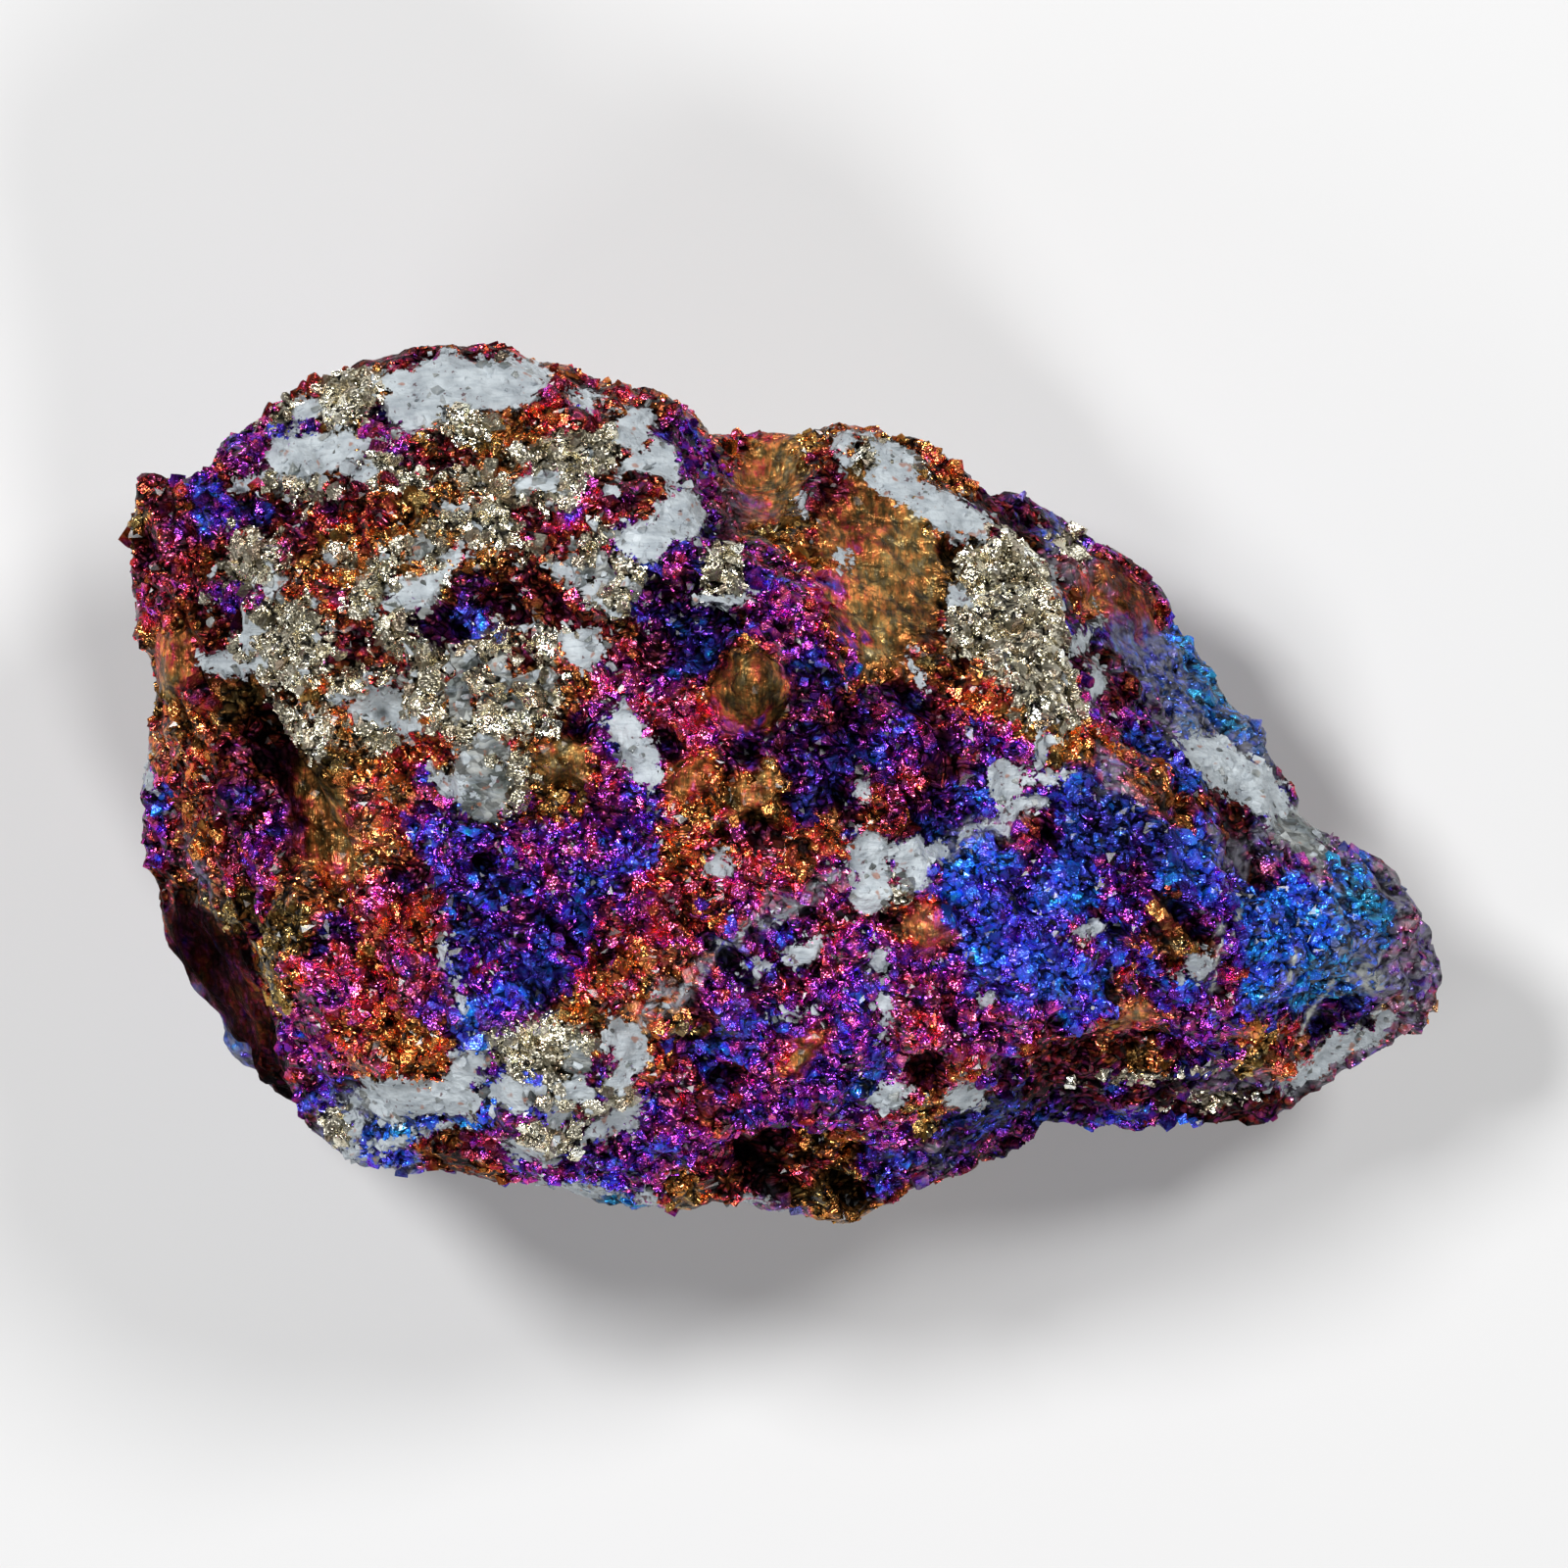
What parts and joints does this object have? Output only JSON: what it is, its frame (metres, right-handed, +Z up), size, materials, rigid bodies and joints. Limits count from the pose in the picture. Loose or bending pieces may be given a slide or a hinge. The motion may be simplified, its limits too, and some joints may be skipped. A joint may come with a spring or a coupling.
{
  "type": "peacock ore specimen",
  "caption": "Lump of iridescent tarnished copper ore with white quartz and brassy grains, broken to a narrow end, resting on a flat cleaved face as a display mineral.",
  "frame": {"origin": "middle of the bounding box, on the flat face that the stone rests on", "axes": "+X along the length towards the narrow end, +Y towards the back edge that is at the top of the picture, +Z up from the resting face"},
  "size_m": [0.065, 0.043, 0.0321],
  "materials": {
    "tarnished_ore": "metallic tarnish in magenta, violet, blue, orange and olive gold over rough chips, with matt white quartz and fresh brassy grains"
  },
  "bodies": {
    "root": {"peacock_ore": "tarnished_ore"}
  },
  "joints": []
}
